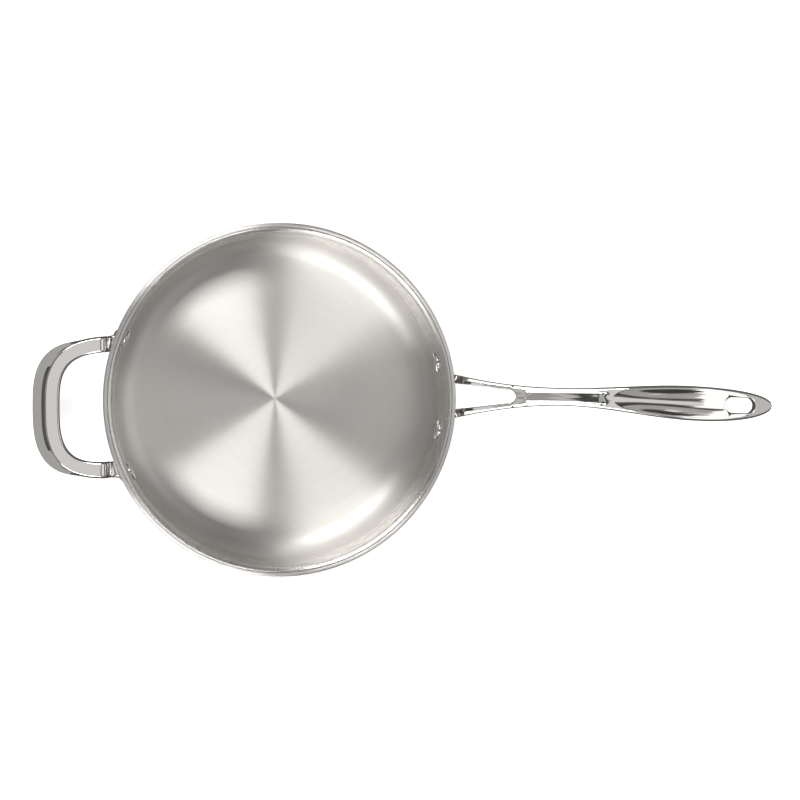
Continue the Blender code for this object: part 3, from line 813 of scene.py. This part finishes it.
# %% Sizes of the long handle, from the root of its prongs
HANDLE_SIDE = 0.0024
HANDLE_LEAN = 0.0072
LEAN_START = 0.26
HANDLE_REACH = 0.2434
HANDLE_RISE = 0.0568
HANDLE_DEPTHS = (0.0070, 0.0085, 0.0105, 0.0065)  # at the root, the waist, the grip and the tip
ROOT_DIP = 0.0026
ROOT_DIP_LENGTH = 0.014
RIVET_SPACING = 0.0565
EAR_LENGTH = 0.0092
PRONG_HALF = 0.0175
WAIST_AT = 0.080
WAIST_HALF = 0.0072
GRIP_AT = 0.180
GRIP_HALF = 0.0138
TIP_ROUNDNESS = 2.2
EDGE_ROUNDING = 0.0008
BELLY = 0.0020
UNDERCUT = 0.22
UNDERCUT_FROM = 0.3
GAP_ROOT_HALF = 0.0103
GAP_TOE = 0.0050
GAP_LENGTH = 0.0452
GAP_EDGE = ((0.0, 0.0006), (0.0003, 0.0001), (0.0008, 0.0))  # out from the gap, drop
STRIP_WIDTH = 0.0029
WEB_HALF = 0.0068
WEB_END = 0.0600
PANEL_START = 0.0520
PANEL_STEP = 0.0006
PANEL_END = 0.1072
PANEL_FADE = 0.0085
PANEL_HALF = 0.0036
PANEL_SHARES = (0.0, 0.4, 0.85, 1.0)
PANEL_WIDENS_AT, PANEL_WIDENS_OVER, PANEL_WIDENS_BY = 0.085, 0.03, 0.18
PANEL_MARGIN = 0.0006
PANEL_RECESS = 0.0006
EDGE_CRISP = 0.0003
BEVEL_SLOPE = 0.62
LEAST_BEVEL = 0.0016
CREST_START = 0.098
CREST_END = 0.122
CREST_BEVEL = 0.0019
CREST_CRISP = 0.00015
DISH_START = 0.1172
DISH_END_RADIUS = 0.012
DISH_BORDER = 0.0031
DISH_DEPTH = 0.0035
DISH_RUN_IN = 0.060
DISH_SHALLOWS_AT, DISH_SHALLOWS_OVER, DISH_SHALLOWS_BY = 0.150, 0.060, 0.35
DISH_SHARES = (0.0, 0.36, 0.70, 0.96)
BORDER_DROP = 0.0008
BORDER_FALLS = ((0.30, -0.05), (0.52, 0.0), (0.70, 0.20), (0.86, 0.55))  # share across, of its drop
HOLE_START = 0.2052
HOLE_END = 0.2292
HOLE_HALF = 0.0061
HOLE_EASE = 0.002
MIDDLE_CHANGE = (0.1125, 0.006)  # start and length of the change from waist to grip
BORDER_CHANGE = (0.090, 0.030)
RANKS = 10
OPEN_RANK = 2
RING_ANGLES = (0.0, radians(24), radians(46), radians(58), radians(61))
RING_EXTRAS = (0.0, 0.0, 0.0, 0.00035, 0.0008)


def half_width(along):
    """Half the handle's width: flared prongs, slim waist, long oval grip."""
    if along < WAIST_AT:
        return WAIST_HALF + (PRONG_HALF - WAIST_HALF) * (1 - along / WAIST_AT) ** 2
    if along < GRIP_AT:
        return blend(WAIST_HALF, GRIP_HALF, ramp(along, WAIST_AT, GRIP_AT - WAIST_AT))
    past = min(1.0, (along - GRIP_AT) / (HANDLE_REACH - GRIP_AT))
    return GRIP_HALF * (1 - past ** TIP_ROUNDNESS) ** (1 / TIP_ROUNDNESS)


def handle_depth(along):
    """Thickness from the crest to the underside."""
    root, waist, grip, tip = HANDLE_DEPTHS
    if along < WAIST_AT:
        return blend(root, waist, smooth_step(along / WAIST_AT))
    if along < GRIP_AT:
        return blend(waist, grip, ramp(along, WAIST_AT, GRIP_AT - WAIST_AT))
    return blend(grip, tip, ((along - GRIP_AT) / (HANDLE_REACH - GRIP_AT)) ** 2)


# %% Sections of the long handle
def waist_section(along, half, opening):
    """(lateral, drop) of the eleven corners where the handle has prongs, a web or a panel."""
    panel = PANEL_HALF * (1 + PANEL_WIDENS_BY * ramp(along, PANEL_WIDENS_AT, PANEL_WIDENS_OVER))
    sunk = PANEL_RECESS * ramp(along, PANEL_START, PANEL_STEP)
    sunk *= 1 - ramp(along, PANEL_END, PANEL_FADE)
    if opening:
        crest = opening + STRIP_WIDTH
        inner = [(0.0, 0.0), (opening / 2, 0.0)] + [(opening + out, drop) for out, drop in GAP_EDGE]
    else:
        web_fade = ramp(along, GAP_LENGTH, WEB_END - GAP_LENGTH)
        crest = blend(WEB_HALF, panel + PANEL_MARGIN, web_fade)
        inner = [(share * panel, sunk) for share in PANEL_SHARES] + [(panel + EDGE_CRISP, 0.0)]
    shoulder = ramp(along, CREST_START, CREST_END - CREST_START)
    crest = min(blend(crest, half - CREST_BEVEL, shoulder), half - LEAST_BEVEL)
    bevel = half - EDGE_ROUNDING - crest
    fall = BEVEL_SLOPE * bevel
    return inner + [(crest - CREST_CRISP, 0.0), (crest + CREST_CRISP, 0.0001),
                    (crest + 0.35 * bevel, 0.36 * fall), (crest + 0.75 * bevel, 0.76 * fall),
                    (crest + bevel, fall), (half, fall + EDGE_ROUNDING)]


def hollow_drop(along, lateral, edge):
    """Depth of the grip's hollow below the crest."""
    run_in = 1 - (1 - min(1.0, max(0.0, along - DISH_START) / DISH_RUN_IN)) ** 2
    beside_hole = smooth_step((along - HOLE_START - HOLE_EASE)
                              / (HOLE_END - HOLE_START - 2 * HOLE_EASE))
    rising = 1 - DISH_SHALLOWS_BY * ramp(along, DISH_SHALLOWS_AT, DISH_SHALLOWS_OVER)
    depth = DISH_DEPTH * run_in * rising * (1 - beside_hole)
    return depth * max(0.0, 1 - (lateral / edge) ** 2)


def hollow_edge(along):
    opened = round_end(max(0.0, along - DISH_START), DISH_END_RADIUS) / DISH_END_RADIUS
    return max(0.0004, (half_width(along) - DISH_BORDER) * opened)


def grip_section(along, half, opening):
    """(lateral, drop) of the eleven corners where the handle has its hollow."""
    edge = hollow_edge(along)
    inner = [(edge * share, hollow_drop(along, edge * share, edge)) for share in DISH_SHARES]
    border = DISH_BORDER - EDGE_ROUNDING
    start = half - EDGE_ROUNDING - border
    if opening:
        rim = hollow_drop(along, opening, edge)
        inner[1:4] = [(opening / 2, 0.0), (opening, rim + 0.0004), (opening + EDGE_CRISP, rim)]
        start = max(start, opening + 0.0010)
        border = half - EDGE_ROUNDING - start
        edge = max(edge, opening + 0.0005)
    return inner + [(edge + 0.0002, 0.0)] + [
        (start + share * border, fall * BORDER_DROP) for share, fall in BORDER_FALLS] + [
            (start + border, BORDER_DROP), (half, BORDER_DROP + EDGE_ROUNDING)]


def top_section(along, opening):
    half = half_width(along)
    shares = [ramp(along, *MIDDLE_CHANGE)] * 5 + [ramp(along, *BORDER_CHANGE)] * 6
    rows = zip(waist_section(along, half, opening), grip_section(along, half, opening), shares)
    return [(blend(a[0], b[0], share), blend(a[1], b[1], share)) for a, b, share in rows]


# %% Rows of the long handle
def plain(distances):
    """Rows that run straight across, with no opening."""
    return [(along, None, 0.0, None) for along in distances]


def hole_end_rows(end, inward):
    """Rows outside one end of the hole, and rows along its arc, on the way into the hole."""
    outside = [(end + inward * (HOLE_HALF / 2 - 2 * away), None, 0.0,
                (end + inward * HOLE_HALF, -inward * (HOLE_HALF + away)))
               for away in (0.0025, 0.0009, 0.0003)]
    arc = [(end + inward * HOLE_HALF * (1 - cos(angle)), HOLE_HALF * sin(angle), -inward * lead,
            None) for angle, lead in ((pi / 3, HOLE_HALF / 2), (pi * 5 / 12, 0.0), (pi / 2, 0.0))]
    return outside, arc


def handle_rows():
    """Each row: distance, half opening, lead of its middle, and the ring it follows, if any."""
    toe_start = GAP_LENGTH - GAP_TOE
    rows = [(along, blend(GAP_ROOT_HALF, GAP_TOE, along / toe_start), 0.0, None)
            for along in spread(0.0, toe_start, 12)]
    rows += [(GAP_LENGTH - GAP_TOE * (1 - sin(angle)), GAP_TOE * cos(angle), 0.0, None)
             for angle in (0.0, pi / 12)]
    gap_end = len(rows)
    rows += [(GAP_LENGTH - GAP_TOE / 2, GAP_TOE * cos(pi / 6), GAP_TOE / 2, None)]
    rows += [(GAP_LENGTH - GAP_TOE / 2 + 2 * away, None, 0.0, (toe_start, GAP_TOE + away))
             for away in (0.0003, 0.0009)]
    rows += plain((0.0478, 0.0500))
    rows += plain(PANEL_START + run for run in (-0.0004, 0.0, 0.0005, 0.0012))
    rows += plain(spread(0.0560, PANEL_END, 10))
    rows += [(PANEL_END + run, None, lead, None) for run, lead in (
        (0.0, 0.0), (0.0014, -0.0010), (0.0030, -0.0020), (0.0046, -0.0026), (0.0062, -0.0026),
        (0.0076, -0.0022), (0.0088, -0.0012), (0.0098, -0.0004))]
    rows += plain(DISH_START + run for run in (0.0005, 0.0015, 0.003, 0.0055, 0.009, 0.013))
    rows += plain(spread(0.1345, HOLE_START - 0.003, 12))
    before, first_arc = hole_end_rows(HOLE_START, 1)
    after, last_arc = hole_end_rows(HOLE_END, -1)
    rows += before
    hole_start = len(rows)
    rows += first_arc
    rows += [(along, HOLE_HALF, 0.0, None)
             for along in spread(HOLE_START + HOLE_HALF, HOLE_END - HOLE_HALF, 4)[1:]]
    rows += last_arc[::-1]
    hole_end = len(rows) - 1
    rows += after[::-1]
    rows += plain(spread(HOLE_END + 0.0045, HANDLE_REACH - 0.0022, 4))
    rows += [(HANDLE_REACH - 0.0022, None, 0.0006, None),
             (HANDLE_REACH - 0.0009, None, 0.0009, None)]
    return rows, gap_end, hole_start, hole_end


HANDLE_ROWS, GAP_END_ROW, HOLE_START_ROW, HOLE_END_ROW = handle_rows()
print("long handle has", len(HANDLE_ROWS), "sections")

# %% Corners of the long handle
def handle_corner(column, row, level):
    aside = row - RANKS
    rank = abs(aside)
    along, opening, lead, ring = HANDLE_ROWS[column]
    section = top_section(along, opening)
    lateral, top = section[rank]
    if opening and lead and rank < OPEN_RANK:
        lateral = 2 * abs(lead) * sin(pi / 6 * rank)
        along += 2 * lead * (cos(pi / 6 * rank) - 0.5)
        top = section[OPEN_RANK][1]
    elif ring and rank < (len(RING_ANGLES) if along < DISH_START else OPEN_RANK + 2):
        centre, radius = ring
        radius += copysign(RING_EXTRAS[rank], radius)
        lateral = abs(radius) * sin(RING_ANGLES[rank])
        along = centre + radius * cos(RING_ANGLES[rank])
        top = hollow_drop(along, lateral, hollow_edge(along)) if along > DISH_START else 0.0
    elif not opening:
        along += lead * max(0.0, 1 - (rank / 3.0) ** 2)
    outward = rank / RANKS
    bottom = handle_depth(along) - BELLY * outward ** 2
    below = lateral * (1 - UNDERCUT * max(0.0, outward - UNDERCUT_FROM) / (1 - UNDERCUT_FROM))
    above = lateral - (0.35 * EDGE_ROUNDING if rank == RANKS else 0.0)
    lateral = {1: above, 0: lateral, -1: below}[level]
    drop = {1: top, 0: blend(top, bottom, 0.40), -1: bottom}[level]
    share = along / HANDLE_REACH
    slope = atan(2 * HANDLE_RISE * (1 - share) / HANDLE_REACH)
    crest = ROOT_TOP + HANDLE_RISE * (1 - (1 - share) ** 2)
    crest -= ROOT_DIP * max(0.0, 1 - along / ROOT_DIP_LENGTH) ** 2
    middle = HANDLE_SIDE - HANDLE_LEAN * ramp(share, LEAN_START, 1 - LEAN_START)
    return (FOOT_OUTER_RADIUS + ROOT_STANDOFF + along + drop * sin(slope),
            middle + copysign(lateral, aside), crest - drop * cos(slope))


# %% Long handle
def make_long_handle():
    bm = bmesh.new()
    rivet_at = RIVET_SPACING / 2
    root = [lateral for lateral, _ in top_section(0.0, GAP_ROOT_HALF)]
    ear_end = rivet_at + EAR_LENGTH
    half = root[1:] + [blend(root[-1], rivet_at, 0.5), rivet_at, blend(rivet_at, ear_end, 0.5),
                       ear_end - 0.0012, ear_end]
    laterals = [-lateral for lateral in half[::-1]] + [0.0] + half
    middle = len(half)
    patches = add_foot(bm, laterals, HANDLE_SIDE, EAR_LENGTH,
                       ((middle - RANKS, middle - OPEN_RANK), (middle + OPEN_RANK, middle + RANKS)))

    def is_open(centre):
        in_middle = abs(centre.y - RANKS) < OPEN_RANK
        in_hole = HOLE_START_ROW < centre.x < HOLE_END_ROW
        return in_middle and (centre.x < GAP_END_ROW or in_hole)
    verts = cell_block(bm, len(HANDLE_ROWS) - 1, 2 * RANKS, is_open)
    roots = [block_faces(verts, lambda c: c.x < 0.1 and c.y < RANKS),
             block_faces(verts, lambda c: c.x < 0.1 and c.y > RANKS)]
    place(verts, handle_corner)
    join(bm, roots, patches)
    rounded(finished("handle_casting", bm, casting_steel, "long_handle"))


make_long_handle()

# %% [markdown]
# ## Helper loop
# The short handle opposite is a flat strap bent into a wide bow. Its top is a flat crest that rolls
# over towards the pan, and outside it a skirt hangs down, so that a gloved hand has an edge to pull
# on. It is a block of cells bent round a squarish loop.

# %% Sizes of the helper loop
HELPER_RIVET_SPACING = 0.108
HELPER_SIDE = 0.0042
HELPER_REACH = 0.0433
HELPER_SPAN = 0.0978
HELPER_SQUARENESS = 3.0
HELPER_RISE = 0.0115
HELPER_EAR = 0.0055
KNEE_RUN = 0.0060
UNDERSIDE_RUN = 0.016
NEAR_ARM_LEAN = 0.07
NEAR_ARM_SHIFT = 0.03
STRAP_WIDTH = 0.0117
SKIRT_START = 0.45
SKIRT_LEAST = 0.0006
SKIRT_REACH = 0.0088
SKIRT_DROP = 0.0105
SKIRT_SLOPE = 0.76
SKIRT_EDGE = 0.0030
ROOT_DEPTH = 0.0070
LOOP_REACHES = (0.0, 0.0007, 0.0016, 0.0028, 0.0042, 0.0056, 0.0070, 0.0090, 0.0120)
LOOP_TURNS = 15
LOOP_PROBE = 0.02
CREASE_START = 0.84
STRAP_SHARES = (-0.5, -0.445, -0.42, -0.20, 0.10, 0.40, 0.435, 0.46)
STRAP_DROPS = (0.0026, 0.0004, 0.0001, 0.0, 0.0, -0.0001, 0.0001, 0.0006)
SKIRT_SHARES = (0.085, 0.20, 0.27, 0.96, 1.0)
FRONT_DROPS = (0.30, 0.47, 0.53, 0.96, 1.0)  # of the skirt, at the front, corners and arms
CORNER_DROPS = SKIRT_SHARES
ARM_DROPS = (0.30, 0.45, 0.55, 0.97, 1.0)


def loop_line(angle):
    """Middle line of the strap: reach from its roots, and distance to the side."""
    power = 2 / HELPER_SQUARENESS
    reach = HELPER_REACH * max(0.0, cos(angle)) ** power
    return reach, HELPER_SPAN / 2 * copysign(abs(sin(angle)) ** power, angle)


def loop_angles():
    """Angles of the loop's sections, closer together where the arms rise from their roots."""
    first = [acos((reach / HELPER_REACH) ** (HELPER_SQUARENESS / 2)) for reach in LOOP_REACHES]
    first += [first[-1] * (1 - step / LOOP_TURNS) for step in range(1, LOOP_TURNS)]
    return [-angle for angle in first] + [0.0] + first[::-1]


LOOP_ANGLES = loop_angles()
LOOP_CELLS = len(LOOP_ANGLES) - 1


def strap_section(reach):
    """Offsets outward from the middle line, and drops of top and underside, across the strap."""
    skirt = ramp(reach / HELPER_REACH, SKIRT_START, 1 - SKIRT_START)
    width = blend(SKIRT_LEAST, SKIRT_REACH, skirt)
    offsets = [STRAP_WIDTH * share for share in STRAP_SHARES]
    offsets += [STRAP_WIDTH / 2 + width * share for share in SKIRT_SHARES]
    crease = ramp(reach / HELPER_REACH, CREASE_START, 1 - CREASE_START)
    fall = blend(max(SKIRT_EDGE, SKIRT_SLOPE * width), SKIRT_DROP, crease)
    start = STRAP_DROPS[-1]
    tops = list(STRAP_DROPS)
    for arm, corner, front in zip(ARM_DROPS, CORNER_DROPS, FRONT_DROPS):
        share = blend(blend(arm, corner, smooth_step(4 * skirt)), front, crease)
        tops.append(start + (fall - start) * share)
    deepest = fall + SKIRT_EDGE
    outer = max(deepest, ROOT_DEPTH * (1 - skirt) + deepest * skirt)
    bottoms = [blend(ROOT_DEPTH, outer, ramp(offset, offsets[0], offsets[-1] - offsets[0]))
               for offset in offsets[:-1]] + [deepest]
    return offsets, tops, bottoms


def helper_corner(column, row, level):
    angle = LOOP_ANGLES[column]
    reach, aside = loop_line(angle)
    before = loop_line(max(-pi / 2, angle - LOOP_PROBE))
    after = loop_line(min(pi / 2, angle + LOOP_PROBE))
    run = (after[0] - before[0], after[1] - before[1])
    length = hypot(*run)
    outward = (run[1] / length, -run[0] / length)
    offsets, tops, bottoms = strap_section(reach)
    drop = {1: tops[row], 0: (tops[row] + bottoms[row]) / 2, -1: bottoms[row]}[level]
    knee = sqrt(1 - max(0.0, 1 - reach / KNEE_RUN) ** 2)
    rise = HELPER_RISE * blend(smooth_step(reach / UNDERSIDE_RUN), knee, (level + 1) / 2)
    if aside < 0:
        aside *= 1 - (NEAR_ARM_LEAN * reach / HELPER_REACH + NEAR_ARM_SHIFT)
    root = sqrt(FOOT_OUTER_RADIUS ** 2 - ((HELPER_SPAN - STRAP_WIDTH) / 2 - HELPER_SIDE) ** 2)
    return (root + ROOT_STANDOFF + reach + outward[0] * offsets[row],
            HELPER_SIDE + aside + outward[1] * offsets[row], ROOT_TOP + rise - drop)


# %% Helper loop, built towards +X and then turned to the far side
def make_helper():
    bm = bmesh.new()
    strap = [HELPER_SPAN / 2 + offset for offset in strap_section(0.0)[0]]
    inner_end = strap[0] - HELPER_EAR
    ear_end = HELPER_RIVET_SPACING / 2 + EAR_LENGTH
    laterals = ([inner_end, inner_end + 0.001, inner_end + 0.003] + strap
                + [blend(strap[-1], ear_end, 0.6), ear_end - 0.001, ear_end])
    patches = []
    for sign in (-1, 1):
        signed = [sign * lateral for lateral in laterals]
        patches += add_foot(bm, signed, HELPER_SIDE, HELPER_EAR, ((3, len(strap) + 2),))
    verts = cell_block(bm, LOOP_CELLS, len(strap) - 1)
    roots = [block_faces(verts, lambda c: c.x < 0.1),
             block_faces(verts, lambda c: c.x > LOOP_CELLS - 0.1)]
    place(verts, helper_corner)
    join(bm, roots, patches)
    bmesh.ops.rotate(bm, verts=bm.verts[:], cent=(0, 0, 0), matrix=Matrix.Rotation(pi, 3, "Z"))
    rounded(finished("helper_casting", bm, loop_steel, "helper_handle"))


make_helper()

# %% [markdown]
# ## Rivets
# Four solid steel rivets clamp the feet to the wall. Each has a wide domed head in the pan and a
# smaller one on the foot. The press beds the heads to the curve of the wall, so each spun rivet is
# bent by that curve before it is stood in its hole.

# %% Rivets
INNER_HEAD_HEIGHT, OUTER_HEAD_HEIGHT = 0.0028, 0.0020
SHANK_RADIUS = 0.0030
HEAD_RIM = 0.12
CROWN_FLAT = 0.03
DOME_RINGS = 8
RIVET_STEPS = 48


def dome(radius, height, base):
    """Half outline of a domed head with a small flat rim, from its base to its crown."""
    points = [(radius, base), (radius, base + HEAD_RIM * height)]
    for step in range(1, DOME_RINGS + 1):
        angle = pi / 2 * step / DOME_RINGS
        reach = CROWN_FLAT + (1 - CROWN_FLAT) * cos(angle) if step < DOME_RINGS else 0.0
        points.append((radius * reach, base + height * (HEAD_RIM + (1 - HEAD_RIM) * sin(angle))))
    return points


def rivet_azimuth(middle, side, spacing, sign):
    return middle + asin((side + sign * spacing / 2) / (FOOT_INNER_RADIUS + FOOT_THICKNESS / 2))


def make_rivet(name, azimuth):
    wall = wall_radius(RIVET_HEIGHT)
    inside, outside = wall - 0.0002, FOOT_OUTER_RADIUS + 0.0001
    outline = dome(INNER_HEAD_RADIUS, -INNER_HEAD_HEIGHT, inside)[::-1]
    outline += [(SHANK_RADIUS, inside), (SHANK_RADIUS, outside)]
    outline += dome(OUTER_HEAD_RADIUS, OUTER_HEAD_HEIGHT, outside)
    bm = spun(outline, RIVET_STEPS)
    for vert in bm.verts:
        vert.co.z += sqrt(wall ** 2 - vert.co.y ** 2) - wall - vert.co.x * tan(WALL_FLARE)
    turn = Matrix.Rotation(azimuth, 3, "Z") @ Matrix.Rotation(pi / 2, 3, "Y")
    bmesh.ops.rotate(bm, verts=bm.verts[:], cent=(0, 0, 0), matrix=turn)
    bmesh.ops.translate(bm, verts=bm.verts[:], vec=(0, 0, RIVET_HEIGHT))
    finished(name + "_head", bm, rivet_steel, name)


for foot, middle, side, spacing in (("handle", 0.0, HANDLE_SIDE, RIVET_SPACING),
                                    ("helper", pi, HELPER_SIDE, HELPER_RIVET_SPACING)):
    for label, sign in (("left", 1), ("right", -1)):
        make_rivet(f"{foot}_rivet_{label}", rivet_azimuth(middle, side, spacing, sign))
